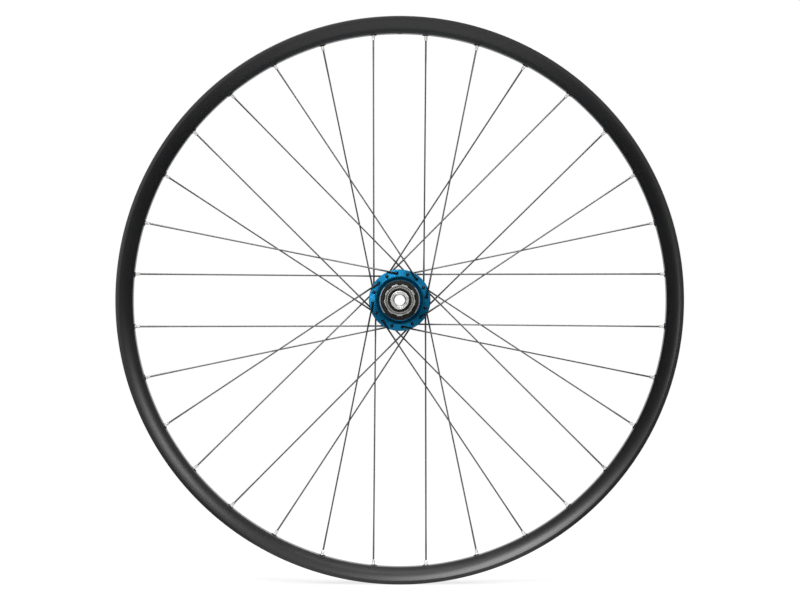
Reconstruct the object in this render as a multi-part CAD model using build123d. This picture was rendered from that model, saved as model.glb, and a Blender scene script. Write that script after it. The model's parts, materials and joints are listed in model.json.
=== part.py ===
from build123d import *
import os
from math import asin, atan2, cos, degrees, hypot, pi, radians, sin, sqrt, tan

# A rear bicycle wheel: hollow rim, three-cross spokes, flanged hub and a pawl freehub.
# The origin is the middle of the axle. +Y runs along the axle to the disc side, +Z is up,
# and +X is forwards. Angles round the axle are counted from the top towards +X.

# Driving dimensions, in millimetres and degrees

# Rim
bead_seat_diameter = 622
rim_inner_width = 30
lip_thickness = 2.5
lip_height = 6
lip_outer_height = 4.1
rim_depth = 19.3
rim_wall = 1.1
wall_bulge = 1.4
bed_width = 11
bed_thickness = 2
well_depth = 3.4
well_width = 14
shelf_width = 5.5
valve_hole_diameter = 6.5
hole_stagger = 1.5
access_hole_diameter = 8

# Spokes and nipples
spoke_count = 32
crosses = 3
spoke_diameter = 2
spoke_head_diameter = 3.8
spoke_head_top_diameter = 2.6
spoke_head_height = 1.2
spoke_hole_clearance = 0.3
elbow_bend = 1
elbow_gap = 0.25
crossing_gap = 0.15
spoke_thread_reach = 0.5
nipple_flats = 3.2
nipple_diameter = 4
nipple_head_diameter = 6
nipple_head_height = 1.3
nipple_exposed = 6.2
nipple_collar = 0.6
nipple_seat_gap = 0.1
nipple_hole_clearance = 0.25
thread_gap = 0.05

# Hub shell
hub_width = 148
drive_flange_offset = 22
disc_flange_offset = 35
drive_hole_circle = 60
disc_hole_circle = 57
flange_thickness = 3.2
flange_edge = 4.3
drive_boss_diameter = 54.4
drive_boss_length = 7.9
funnel_lip = 0.6
recess_gap = 1.1
recess_depth = 1.3
inner_boss_diameter = 51.2
inner_boss_length = 5.9
barrel_diameter = 34
drive_flare_length = 11.5
disc_flare_diameter = 45
disc_flare_length = 13.4
cavity_diameter = 26
neck_diameter = 41
rotor_face_offset = 55
rotor_bolt_circle = 44
rotor_bolt_count = 6
rotor_bolt_hole_diameter = 4.2
rotor_bolt_hole_depth = 9
rotor_lobe_diameter = 9.5
rotor_lobe_thickness = 10
register_diameter = 34.9
register_height = 2.5

# Axle, end caps and spacers
through_axle_diameter = 12
axle_diameter = 17
axle_bore_diameter = 14.4
axle_shoulder_diameter = 21
drive_shoulder = -9
disc_shoulder = 46
end_cap_diameter = 20.2
end_cap_chamfer = 1.2
end_cap_spigot = 12
dust_shield_diameter = 26.4
dust_shield_gap = 2
dust_shield_thickness = 2
drive_spacer_length = 3
freehub_spacer_length = 31
spacer_diameter = 20

# Cartridge bearings
drive_bearing_diameter = 30
disc_bearing_diameter = 28
freehub_bearing_diameter = 26
hub_bearing_width = 7
freehub_bearing_width = 5
race_thickness = 1.5
seal_recess = 0.4

# Freehub
spline_diameter = 34.6
spline_length = 34.9
spline_count = 9
spline_depth = 1
spline_groove_width = 6.4
key_groove_width = 4.9
lockring_bore_diameter = 29.5
seal_seat_diameter = 36
seal_seat_length = 5.1
freehub_bore_diameter = 23.6
carrier_diameter = 35.2
carrier_length = 10.2
carrier_overhang = 0.7
seal_wall = 4.2
seal_chamfer = 0.5
seal_length = 4.5

# Ratchet
tooth_count = 48
tooth_tip_diameter = 37.2
tooth_height = 1.2
ratchet_ring_diameter = 44
ratchet_ring_width = 10
ratchet_floor_gap = 1.3
pawl_count = 4
pawl_width = 7
pawl_inset = 1.7
pawl_pivot_radius = 16
pawl_heel_radius = 1.5
pawl_reach = 8
pawl_nose_drop = 0.5
pawl_nose_length = 1.3
pawl_swing = 15
pawl_side_gap = 0.2
pawl_nose_gap = 0.4
tooth_gap = 0.55
spring_thickness = 0.25
spring_gap = 0.2
spring_width = 5
spring_start = 1.6
spring_end = 7

# Fits: a seat is pushed together, a running pair turns
seat_fit = 0.02
running_fit = 0.08

# Worked-out places, from the driving dimensions

spoke_radius = spoke_diameter / 2
rim_pitch = 360 / spoke_count
flange_pitch = 2 * rim_pitch
spokes_in_group = spoke_count // 4
group_pitch = 360 / spokes_in_group

seat_radius = bead_seat_diameter / 2
rim_radius = seat_radius + lip_height
bed_radius = rim_radius - rim_depth
nipple_seat_radius = bed_radius + bed_thickness
well_radius = seat_radius - well_depth
rim_half_width = rim_inner_width / 2 + lip_thickness

hub_end = hub_width / 2
drive_bearing_face = drive_shoulder - hub_bearing_width
inner_freehub_bearing_end = drive_bearing_face - drive_spacer_length
inner_freehub_bearing_face = inner_freehub_bearing_end - freehub_bearing_width
outer_freehub_bearing_end = inner_freehub_bearing_face - freehub_spacer_length
outer_freehub_bearing_face = outer_freehub_bearing_end - freehub_bearing_width
disc_bearing_face = disc_shoulder + hub_bearing_width

freehub_end = inner_freehub_bearing_end + carrier_overhang
carrier_end = freehub_end - carrier_length
spline_shoulder = carrier_end - seal_seat_length
spline_end = spline_shoulder - spline_length
ratchet_floor = freehub_end + ratchet_floor_gap
ratchet_face = ratchet_floor - ratchet_ring_width
pawl_end = freehub_end - pawl_inset
pawl_middle = pawl_end - pawl_width / 2
seal_diameter = seal_seat_diameter + 2 * seal_wall
recess_diameter = seal_diameter + 2 * recess_gap

flange_half = flange_thickness / 2
sides = {"drive": -1, "disc": 1}
flange_middle = {"drive": -drive_flange_offset, "disc": disc_flange_offset}
hole_circle_radius = {"drive": drive_hole_circle / 2, "disc": disc_hole_circle / 2}
flange_radius = {side: radius + flange_edge for side, radius in hole_circle_radius.items()}

# Each group of spokes: its flange, which side of the flange its elbows lie on (1 outside, -1 inside),
# and which way its hub holes stand from its rim holes. The order is that of the rim's holes.
spoke_groups = {
    "disc_trailing_spoke": ("disc", 1, 1),
    "drive_trailing_spoke": ("drive", 1, 1),
    "disc_leading_spoke": ("disc", -1, -1),
    "drive_leading_spoke": ("drive", -1, -1),
}


def lathe(points):
    """A solid turned about the axle from (radius, place along the axle) corners"""
    return revolve(Polygon(*points, align=None), Axis.Y)


def ring(inner_radius, outer_radius, start, end):
    corners = [(inner_radius, start), (outer_radius, start), (outer_radius, end), (inner_radius, end)]
    return lathe(corners)


def turned_to(angle, shape):
    return shape.rotate(Axis.Y, angle)


def all_round(count, shape, first=0):
    return [turned_to(first + step * 360 / count, shape) for step in range(count)]


def rod_section(radius):
    """Round wire and the holes it runs in are drawn eight-sided, because there are so many of them"""
    return RegularPolygon(radius, 8)


def hole_section(radius):
    return RegularPolygon(radius, 8, major_radius=False)


def across_axle(sketch, width, middle):
    """Extrudes a sketch drawn in the wheel's plane, with its y axis up, to a width along the axle"""
    standing = Plane(origin=(0, middle + width / 2, 0), x_dir=(1, 0, 0), z_dir=(0, -1, 0))
    return standing * extrude(sketch, width)


# Spokes


def spoke_route(group):
    """The bends of a spoke's centre line with its rim hole at the top, from its head to its nipple's seat"""
    side, elbow, lead = spoke_groups[group]
    outwards = sides[side] * elbow
    hub_angle = radians(lead * crosses * flange_pitch)
    hub_radius = hole_circle_radius[side]
    hole = Vector(hub_radius * sin(hub_angle), 0, hub_radius * cos(hub_angle))
    rim = Vector(0, 0, nipple_seat_radius)
    along = (rim - hole).normalized()

    # The spoke lies flat on its flange as far as the flange's edge
    off_axis = abs(hole.cross(along).Y)
    to_edge = sqrt(flange_radius[side] ** 2 - off_axis**2) - sqrt(hub_radius**2 - off_axis**2)
    edge = hole + along * (to_edge + spoke_radius)

    # Two spokes of one flange meet halfway between their rim holes, where the outer one passes inside
    half_step = tan(radians(flange_pitch / 2))
    lean = abs(hole.X) - half_step * hole.Z
    share = lean / (lean + half_step * nipple_seat_radius)
    crossing = hole + (rim - hole) * share

    middle = flange_middle[side]
    rim_y = sides[side] * hole_stagger
    run_y = middle + outwards * (flange_half + elbow_gap + spoke_radius)
    crossing_y = (1 - share) * middle + share * rim_y - outwards * (spoke_radius + crossing_gap / 2)
    return [
        hole + Vector(0, middle - outwards * flange_half, 0),
        hole + Vector(0, run_y - outwards * elbow_bend, 0),
        hole + along * elbow_bend + Vector(0, run_y, 0),
        edge + Vector(0, run_y, 0),
        crossing + Vector(0, crossing_y, 0),
        rim + Vector(0, rim_y, 0),
    ]


def nipple_frame(group):
    """A plane at the nipple's seat that looks outwards along the spoke"""
    route = spoke_route(group)
    return Plane(origin=route[-1], z_dir=route[-1] - route[-2])


def spoke(group):
    route = spoke_route(group)
    end = nipple_frame(group).z_dir * spoke_thread_reach
    path = Polyline(*route[:-1], route[-1] + end)
    head_side = Plane(origin=route[0], z_dir=route[0] - route[1])
    wire = sweep(head_side * rod_section(spoke_radius), path=path, transition=Transition.RIGHT)
    base = rod_section(spoke_head_diameter / 2)
    top = Pos(0, 0, spoke_head_height) * rod_section(spoke_head_top_diameter / 2)
    return wire + head_side * loft([base, top], ruled=True)


def nipple(group):
    tip = -bed_thickness - nipple_exposed
    collar = -bed_thickness - nipple_collar
    radius = nipple_diameter / 2
    head_radius = nipple_head_diameter / 2
    head_rise = head_radius - radius
    flats = Pos(0, 0, tip) * extrude(Rectangle(nipple_flats, nipple_flats), collar - tip)
    barrel = Pos(0, 0, collar) * extrude(rod_section(radius), nipple_seat_gap - collar)
    seat = loft([rod_section(radius), Pos(0, 0, head_rise) * rod_section(head_radius)], ruled=True)
    head = Pos(0, 0, head_rise) * extrude(rod_section(head_radius), nipple_head_height)
    bore = Pos(0, 0, tip) * extrude(hole_section(spoke_radius + thread_gap), 2 * spoke_thread_reach - tip)
    body = flats + barrel + Pos(0, 0, nipple_seat_gap) * (seat + head)
    return nipple_frame(group) * (body - bore)


def group_angles(group):
    """Rim angles of a group's spokes: the groups take the rim's holes in turn"""
    first = (list(spoke_groups).index(group) + 0.5) * rim_pitch
    return [first + step * group_pitch for step in range(spokes_in_group)]


def nipples():
    return [turned_to(angle, nipple(group)) for group in spoke_groups for angle in group_angles(group)]


# Rim


def rim_section():
    half_well = well_width / 2
    half_inner = rim_inner_width / 2
    half_bed = bed_width / 2
    lip_foot = rim_radius - lip_outer_height
    inner_end = Vector(bed_radius, half_bed)
    outer_end = Vector(lip_foot, rim_half_width)
    chord = outer_end - inner_end
    outwards = Vector(-chord.Y, chord.X).normalized()
    side = Polyline(
        (well_radius, half_well),
        (seat_radius, half_inner - shelf_width),
        (seat_radius, half_inner),
        (rim_radius, half_inner),
        (rim_radius, rim_half_width),
        outer_end,
    )
    wall = ThreePointArc(outer_end, (inner_end + outer_end) / 2 + outwards * wall_bulge, inner_end)
    half = side + wall
    bed = Line((bed_radius, -half_bed), (bed_radius, half_bed))
    well = Line((well_radius, -half_well), (well_radius, half_well))
    outline = make_face(half + mirror(half, about=Plane.XZ) + bed + well)

    # The hollow inside keeps a wall's thickness from the outline
    lean = chord.Y / chord.X
    inset = half_bed - rim_wall / chord.normalized().X
    cavity_top = seat_radius - rim_wall
    middle = (inner_end + outer_end) / 2 + outwards * (wall_bulge - rim_wall)
    half_cavity = [
        (nipple_seat_radius, inset + (nipple_seat_radius - bed_radius) * lean),
        (middle.X, middle.Y),
        (cavity_top, inset + (cavity_top - bed_radius) * lean),
        (well_radius - rim_wall, half_well),
    ]
    other_half = [(radius, -place) for radius, place in reversed(half_cavity)]
    return outline - Polygon(*half_cavity, *other_half, align=None)


def rim():
    nipple_hole = hole_section(nipple_diameter / 2 + nipple_hole_clearance)
    access_hole = hole_section(access_hole_diameter / 2)
    holes = []
    for group in spoke_groups:
        drill = extrude(nipple_hole, 2 * bed_thickness, both=True)
        drill += Pos(0, 0, nipple_head_height) * extrude(access_hole, rim_depth)
        drill = nipple_frame(group) * drill
        holes += [turned_to(angle, drill) for angle in group_angles(group)]
    valve_hole = Pos(0, 0, bed_radius) * Cylinder(valve_hole_diameter / 2, 2 * rim_depth)
    return revolve(rim_section(), Axis.Y) - holes - valve_hole


# Hub shell


def turned_shell():
    flange_out = {side: flange_middle[side] + sides[side] * flange_half for side in sides}
    flange_in = {side: flange_middle[side] - sides[side] * flange_half for side in sides}
    boss_end = flange_out["drive"] - drive_boss_length
    boss_radius = drive_boss_diameter / 2
    inner_boss_end = flange_in["drive"] + inner_boss_length
    barrel_radius = barrel_diameter / 2
    register_end = rotor_face_offset + register_height
    outside = [
        (boss_radius, boss_end),
        (boss_radius, flange_out["drive"]),
        (flange_radius["drive"], flange_out["drive"]),
        (flange_radius["drive"], flange_in["drive"]),
        (inner_boss_diameter / 2, flange_in["drive"]),
        (inner_boss_diameter / 2, inner_boss_end),
        (barrel_radius, inner_boss_end + drive_flare_length),
        (barrel_radius, flange_in["disc"] - disc_flare_length),
        (disc_flare_diameter / 2, flange_in["disc"]),
        (flange_radius["disc"], flange_in["disc"]),
        (flange_radius["disc"], flange_out["disc"]),
        (neck_diameter / 2, flange_out["disc"]),
        (neck_diameter / 2, rotor_face_offset),
        (register_diameter / 2, rotor_face_offset),
        (register_diameter / 2, register_end),
    ]
    inside = [
        (disc_bearing_diameter / 2, register_end),
        (disc_bearing_diameter / 2, disc_shoulder),
        (cavity_diameter / 2, disc_shoulder),
        (cavity_diameter / 2, drive_shoulder),
        (drive_bearing_diameter / 2, drive_shoulder),
        (drive_bearing_diameter / 2, ratchet_floor),
        (ratchet_ring_diameter / 2, ratchet_floor),
        (ratchet_ring_diameter / 2, ratchet_face),
        (recess_diameter / 2, ratchet_face),
        (recess_diameter / 2, ratchet_face - recess_depth),
        (boss_radius - funnel_lip, boss_end),
    ]
    return lathe(outside + inside)


def hub_shell():
    lobe = Pos(0, rotor_bolt_circle / 2) * Circle(rotor_lobe_diameter / 2)
    lobe = across_axle(lobe, rotor_lobe_thickness, rotor_face_offset - rotor_lobe_thickness / 2)
    bolt_hole = Pos(0, rotor_bolt_circle / 2) * Circle(rotor_bolt_hole_diameter / 2)
    bolt_hole = across_axle(bolt_hole, rotor_bolt_hole_depth, rotor_face_offset - rotor_bolt_hole_depth / 2)
    holes = all_round(rotor_bolt_count, bolt_hole)
    for group, (side, elbow, lead) in spoke_groups.items():
        hole = Pos(0, hole_circle_radius[side]) * hole_section(spoke_radius + spoke_hole_clearance)
        hole = across_axle(hole, 2 * flange_thickness, flange_middle[side])
        first = group_angles(group)[0] + lead * crosses * flange_pitch
        holes += all_round(spokes_in_group, hole, first)
    return turned_shell() + all_round(rotor_bolt_count, lobe) - holes


# Axle


def axle():
    radius = axle_diameter / 2
    bore = axle_bore_diameter / 2
    shoulder = axle_shoulder_diameter / 2
    return lathe(
        [
            (bore, outer_freehub_bearing_face),
            (radius, outer_freehub_bearing_face),
            (radius, drive_shoulder),
            (shoulder, drive_shoulder),
            (shoulder, disc_shoulder),
            (radius, disc_shoulder),
            (radius, disc_bearing_face),
            (bore, disc_bearing_face),
        ]
    )


def end_cap_corners(start, end):
    """Corners of an end cap from its bearing at start to the frame's face at end"""
    outwards = 1 if end > start else -1
    bore = through_axle_diameter / 2
    spigot = axle_bore_diameter / 2 - seat_fit
    radius = end_cap_diameter / 2
    return [
        (bore, start - outwards * end_cap_spigot),
        (bore, end - outwards * end_cap_chamfer),
        (bore + end_cap_chamfer, end),
        (radius, end),
        (radius, start),
        (spigot, start),
        (spigot, start - outwards * end_cap_spigot),
    ]


def drive_end_cap():
    return lathe(end_cap_corners(outer_freehub_bearing_face, -hub_end))


def disc_end_cap():
    shield_start = disc_bearing_face + dust_shield_gap
    shield = ring(
        axle_bore_diameter / 2,
        dust_shield_diameter / 2,
        shield_start,
        shield_start + dust_shield_thickness,
    )
    return lathe(end_cap_corners(disc_bearing_face, hub_end)) + shield


def spacer(start, end):
    return ring(axle_diameter / 2 + seat_fit, spacer_diameter / 2, start, end)


# Bearings


def bearing_pieces(outer_diameter, start, end):
    """Inner ring, outer ring, and between them the seals with the balls and cage they close in"""
    bore = axle_diameter / 2 + seat_fit
    outer = outer_diameter / 2 - seat_fit
    inner_race = axle_diameter / 2 + race_thickness
    outer_race = outer_diameter / 2 - race_thickness
    core = ring(inner_race + running_fit, outer_race, start + seal_recess, end - seal_recess)
    return {
        "inner_ring": ring(bore, inner_race, start, end),
        "outer_ring": ring(outer_race, outer, start, end),
        "sealed_core": core,
    }


# Freehub


def pawl_engaged_nose():
    """Radius and angle of a pawl's nose when it is swung out into the teeth"""
    swing = radians(pawl_swing)
    across = pawl_reach * cos(swing) + pawl_nose_drop * sin(swing)
    up = pawl_pivot_radius + pawl_reach * sin(swing) - pawl_nose_drop * cos(swing)
    return hypot(across, up), degrees(atan2(across, up))


def pawl_section():
    """A pawl pressed into its pocket at the top of the freehub: round heel, flat back, square nose"""
    nose = Vector(pawl_reach, -pawl_nose_drop)
    heel_turn = asin(pawl_heel_radius / nose.length)
    back = atan2(nose.Y, nose.X) + pi / 2 - heel_turn
    back_point = Vector(pawl_heel_radius * cos(back), pawl_heel_radius * sin(back))
    face_angle = radians(pawl_engaged_nose()[1] + pawl_swing)
    nose_foot = nose - Vector(sin(face_angle), cos(face_angle)) * pawl_nose_length
    blade = Polygon(
        (0, 0),
        (0, -pawl_heel_radius),
        nose_foot,
        nose,
        back_point,
        align=None,
    )
    return Pos(0, pawl_pivot_radius) * (blade + Circle(pawl_heel_radius))


def pocket_section():
    """Socket for the heel, and a space under and in front of the blade that is open to the teeth"""
    floor = -pawl_heel_radius - spring_thickness - spring_gap
    front = pawl_reach + pawl_nose_gap
    mouth = carrier_diameter / 2 - pawl_pivot_radius + tooth_height
    socket = Circle(pawl_heel_radius + running_fit)
    space = Polygon(
        (-pawl_heel_radius / 2, mouth),
        (-pawl_heel_radius / 2, 0),
        (0, 0),
        (0, floor),
        (front, floor),
        (front, mouth),
        align=None,
    )
    return Pos(0, pawl_pivot_radius) * (socket + space)


def pawls():
    pawl = across_axle(pawl_section(), pawl_width, pawl_middle)
    return all_round(pawl_count, pawl)


def pawl_springs():
    height = pawl_pivot_radius - pawl_heel_radius - spring_gap - spring_thickness / 2
    length = spring_end - spring_start
    leaf = Pos((spring_start + spring_end) / 2, height) * Rectangle(length, spring_thickness)
    return all_round(pawl_count, across_axle(leaf, spring_width, pawl_middle))


def freehub_body():
    bearing_radius = freehub_bearing_diameter / 2
    bore = freehub_bore_diameter / 2
    body = lathe(
        [
            (lockring_bore_diameter / 2, spline_end),
            (spline_diameter / 2, spline_end),
            (spline_diameter / 2, spline_shoulder),
            (seal_seat_diameter / 2, spline_shoulder),
            (seal_seat_diameter / 2, carrier_end),
            (carrier_diameter / 2, carrier_end),
            (carrier_diameter / 2, freehub_end),
            (bearing_radius, freehub_end),
            (bearing_radius, inner_freehub_bearing_face),
            (bore, inner_freehub_bearing_face),
            (bore, outer_freehub_bearing_end),
            (bearing_radius, outer_freehub_bearing_end),
            (bearing_radius, outer_freehub_bearing_face),
            (lockring_bore_diameter / 2, outer_freehub_bearing_face),
        ]
    )
    # The groove at the top is narrower than the rest, so that a sprocket goes on one way only
    cuts = []
    for step in range(spline_count):
        width = spline_groove_width if step else key_groove_width
        groove = Rectangle(width, 2 * spline_depth, align=(Align.CENTER, Align.MIN))
        groove = Pos(0, spline_diameter / 2 - spline_depth) * groove
        groove = across_axle(groove, spline_length, (spline_end + spline_shoulder) / 2)
        cuts.append(turned_to(step * 360 / spline_count, groove))
    pocket = across_axle(pocket_section(), pawl_width + 2 * pawl_side_gap, pawl_middle)
    return body - cuts - all_round(pawl_count, pocket)


def freehub_seal():
    inner = seal_seat_diameter / 2 + seat_fit
    outer = seal_diameter / 2
    seal_end = carrier_end
    seal_face = seal_end - seal_length
    return lathe(
        [
            (inner, seal_face),
            (outer - seal_chamfer, seal_face),
            (outer, seal_face + seal_chamfer),
            (outer, seal_end),
            (inner, seal_end),
        ]
    )


def ratchet_ring():
    """Saw teeth that point inwards: a pawl's nose drives the steep faces, and slides on the slopes"""
    nose_radius, nose_angle = pawl_engaged_nose()
    steep = nose_angle + degrees(tooth_gap / nose_radius)
    tip = tooth_tip_diameter / 2
    root = tip + tooth_height
    corners = []
    for tooth in range(tooth_count):
        angle = radians(steep + tooth * 360 / tooth_count)
        corners += [(radius * sin(angle), radius * cos(angle)) for radius in (root, tip)]
    section = Circle(ratchet_ring_diameter / 2 - seat_fit) - Polygon(*corners, align=None)
    return across_axle(section, ratchet_ring_width, ratchet_floor - ratchet_ring_width / 2)


# All pieces by name


def bearing_nodes():
    places = {
        "drive_hub_bearing": (drive_bearing_diameter, drive_bearing_face, drive_shoulder),
        "disc_hub_bearing": (disc_bearing_diameter, disc_shoulder, disc_bearing_face),
        "inner_freehub_bearing": (
            freehub_bearing_diameter,
            inner_freehub_bearing_face,
            inner_freehub_bearing_end,
        ),
        "outer_freehub_bearing": (
            freehub_bearing_diameter,
            outer_freehub_bearing_face,
            outer_freehub_bearing_end,
        ),
    }
    nodes = {}
    for name, place in places.items():
        for piece, shape in bearing_pieces(*place).items():
            nodes[f"{name}_{piece}"] = shape
    return nodes


def all_nodes():
    nodes = {
        "rim": rim(),
        "nipples": Compound(nipples()),
        "hub_shell": hub_shell(),
        "ratchet_ring": ratchet_ring(),
        "axle": axle(),
        "drive_end_cap": drive_end_cap(),
        "disc_end_cap": disc_end_cap(),
        "drive_spacer": spacer(inner_freehub_bearing_end, drive_bearing_face),
        "freehub_spacer": spacer(outer_freehub_bearing_end, inner_freehub_bearing_face),
        "freehub_body": freehub_body(),
        "freehub_seal": freehub_seal(),
        "pawl_springs": Compound(pawl_springs()),
    }
    for number, pawl in enumerate(pawls(), start=1):
        nodes[f"pawl_{number}"] = pawl
    for group in spoke_groups:
        first_spoke = spoke(group)
        for number, angle in enumerate(group_angles(group), start=1):
            nodes[f"{group}_{number}"] = turned_to(angle, first_spoke)
    nodes.update(bearing_nodes())
    return nodes


os.makedirs("parts", exist_ok=True)
for name, shape in all_nodes().items():
    export_step(shape, f"parts/{name}.step")
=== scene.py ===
import json
from math import asin, cos, pi, radians, sin, sqrt, tan

import bmesh
import bpy
from mathutils import Matrix, Vector


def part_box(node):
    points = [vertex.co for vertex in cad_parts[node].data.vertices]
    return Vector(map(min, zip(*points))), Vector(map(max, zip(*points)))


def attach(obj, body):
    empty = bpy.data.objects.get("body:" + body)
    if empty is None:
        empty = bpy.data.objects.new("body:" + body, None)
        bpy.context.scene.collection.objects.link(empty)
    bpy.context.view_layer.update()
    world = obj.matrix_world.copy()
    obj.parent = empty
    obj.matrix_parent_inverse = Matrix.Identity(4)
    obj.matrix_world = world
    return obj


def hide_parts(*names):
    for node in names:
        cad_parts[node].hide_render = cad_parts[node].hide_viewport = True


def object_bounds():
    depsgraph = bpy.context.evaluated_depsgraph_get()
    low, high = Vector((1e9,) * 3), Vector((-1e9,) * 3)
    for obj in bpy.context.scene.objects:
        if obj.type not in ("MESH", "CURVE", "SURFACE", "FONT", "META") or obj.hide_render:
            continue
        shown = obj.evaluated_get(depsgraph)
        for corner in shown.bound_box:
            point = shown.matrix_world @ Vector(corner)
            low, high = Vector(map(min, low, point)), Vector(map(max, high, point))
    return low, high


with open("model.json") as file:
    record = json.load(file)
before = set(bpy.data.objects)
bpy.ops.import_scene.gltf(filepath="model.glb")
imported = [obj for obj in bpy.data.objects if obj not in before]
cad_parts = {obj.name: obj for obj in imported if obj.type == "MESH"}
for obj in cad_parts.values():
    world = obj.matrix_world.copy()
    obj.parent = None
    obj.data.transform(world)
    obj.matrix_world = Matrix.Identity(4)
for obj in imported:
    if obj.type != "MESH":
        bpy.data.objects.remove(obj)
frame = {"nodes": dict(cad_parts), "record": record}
cad_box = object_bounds()

# A rear bicycle wheel in metres. The axle lies along Y with the drive side at -Y, and +Z is up.
# Profiles of turned pieces are (radius, place along the axle) corners, each with a rounding radius.
# A name that ends in _round is such a radius.

# Rim
rim_low, rim_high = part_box("rim")
rim_radius = rim_high.z
rim_half_width = rim_high.y
lip_thickness = 0.0025
lip_height = 0.006
lip_outer_height = 0.0041
lip_round = 0.0008
lip_foot_round = 0.0005
rim_depth = 0.0181
rim_wall = 0.0011
wall_bulge = 0.0014
wall_steps = 9
cavity_wall_steps = 3
bed_half_width = 0.0055
bed_thickness = 0.002
bed_round = 0.0007
well_depth = 0.0034
well_half_width = 0.007
well_round = 0.002
shelf_width = 0.0055
shelf_round = 0.0006
valve_hole_radius = 0.00325
nipple_hole_radius = 0.00225
access_hole_radius = 0.004
hole_stagger = 0.0015
hole_boss_radius = 0.0042
hole_boss_top_radius = 0.0032
hole_boss_height = 0.0009
hole_segments = 24
rim_segments = 384

seat_radius = rim_radius - lip_height
bed_radius = rim_radius - rim_depth
nipple_seat_radius = bed_radius + bed_thickness
well_radius = seat_radius - well_depth
inner_half_width = rim_half_width - lip_thickness
bed_edge = Vector((bed_radius, bed_half_width))
lip_foot = Vector((rim_radius - lip_outer_height, rim_half_width))

# Spokes and nipples
spoke_count = 32
crosses = 3
spoke_end_radius = 0.001
spoke_middle_radius = 0.00085
butt_length = 0.03
butt_taper = 0.012
spoke_head_radius = 0.0019
spoke_head_height = 0.0012
# How far out from the flange's edge the painted shade on the spokes fades away
elbow_shade_fade = 0.012
elbow_bend = 0.0011
elbow_gap = 0.00025
crossing_gap = 0.00015
run_bend = 0.02
thread_reach = 0.0005
nipple_half_flats = 0.0016
nipple_radius = 0.002
nipple_head_radius = 0.003
nipple_head_height = 0.0013
nipple_exposed = 0.0062
nipple_collar = 0.0006
nipple_edge = 0.0003
nipple_bore_radius = 0.00105
nipple_seat_gap = 0.0001

rim_pitch = radians(360 / spoke_count)
flange_pitch = 2 * rim_pitch
spokes_in_group = spoke_count // 4
group_pitch = 4 * rim_pitch

# The domed head of a spoke from its top to the wire, as shares of its height and of its radius
spoke_head_dome = ((1, 0.35), (0.85, 0.7), (0.5, 0.93), (0.15, 1), (0, 1), (0, 0.55))

# Forms of a nipple's sections: 2 is a circle, and more comes nearer to a square
round_form = 2
collar_form = 3
tip_form = 4
square_form = 7

# Hub shell
flange_middle = {"drive": -0.022, "disc": 0.035}
hole_circle_radius = {"drive": 0.030, "disc": 0.0285}
flange_half = 0.0016
flange_edge = 0.0043
flange_round = 0.0006
spoke_hole_radius = 0.0013
spoke_hole_flare = 0.0005
spoke_hole_segments = 20
drive_boss_radius = 0.0272
drive_boss_end = -0.0315
drive_boss_round = 0.0003
drive_boss_foot_round = 0.0008
funnel_lip = 0.0006
funnel_round = 0.0002
recess_radius = 0.0233
recess_end = -0.0283
recess_round = 0.0006
ratchet_ring_radius = 0.022
ratchet_face = -0.027
ratchet_face_round = 0.0003
ratchet_floor = -0.017
inner_boss_radius = 0.0256
inner_boss_end = -0.0145
inner_boss_round = 0.0012
inner_boss_foot_round = 0.0008
barrel_radius = 0.017
barrel_round = 0.012
drive_flare_length = 0.0115
disc_flare_radius = 0.0225
disc_flare_length = 0.0134
disc_flare_round = 0.001
cavity_radius = 0.013
drive_bearing_radius = 0.015
disc_bearing_radius = 0.014
drive_shoulder = -0.009
disc_shoulder = 0.046
neck_radius = 0.0205
neck_foot_round = 0.0012
rotor_face = 0.055
rotor_face_round = 0.0002
register_radius = 0.01745
register_end = 0.0575
register_round = 0.0004
rotor_bolt_circle = 0.022
rotor_bolt_count = 6
rotor_bolt_radius = 0.0021
rotor_bolt_depth = 0.009
rotor_bolt_round = 0.0001
rotor_thread_depth = 0.0003
rotor_thread_pitch = 0.0008
rotor_lobe_radius = 0.00475
rotor_lobe_thickness = 0.010
rotor_lobe_rise = 0.00003
rotor_lobe_back_round = 0.0008
rotor_lobe_segments = 40
hub_segments = 192

sides = {"drive": -1, "disc": 1}
flange_radius = {side: radius + flange_edge for side, radius in hole_circle_radius.items()}

# Freehub
spline_radius = 0.0173
spline_end = -0.0685
spline_end_round = 0.0005
spline_shoulder = -0.0336
spline_shoulder_round = 0.0001
spline_count = 9
spline_depth = 0.001
spline_groove_half = 0.0032
spline_groove_round = 0.0003
key_groove_half = 0.00245
spline_flank = 0.0005
lockring_bore_radius = 0.01475
lockring_thread_depth = 0.0004
lockring_thread_pitch = 0.001
lockring_bore_end = -0.060
lockring_mouth = 0.0005
lockring_mouth_round = 0.0002
outer_bearing_end = -0.055
inner_bearing_face = -0.024
freehub_bearing_radius = 0.013
outer_bearing_round = 0.0002
inner_bearing_round = 0.0003
freehub_bore_radius = 0.0118
seal_seat_radius = 0.018
seal_seat_round = 0.0003
carrier_radius = 0.0176
carrier_end = -0.0285
freehub_end = -0.0183
freehub_end_round = 0.0004
pawl_count = 4
pawl_middle = -0.0235
pawl_pocket_half = 0.0037
pawl_pivot_radius = 0.016
pawl_socket_radius = 0.00158
pawl_socket_steps = 12
pocket_floor = -0.00195
pocket_front = 0.0084
pocket_back = -0.00075
pocket_mouth = 0.003

# Seal
seal_inner_radius = 0.01802
seal_inner_round = 0.0003
seal_radius = 0.0222
seal_face = -0.033
seal_face_round = 0.0009
seal_back_round = 0.0004
seal_groove_radius = 0.0196
seal_groove_width = 0.001
seal_groove_depth = 0.0003
seal_groove_round = 0.0002
seal_groove_floor_round = 0.0001
seal_line_radius = 0.0214
seal_line_half_angle = radians(40)

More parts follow.
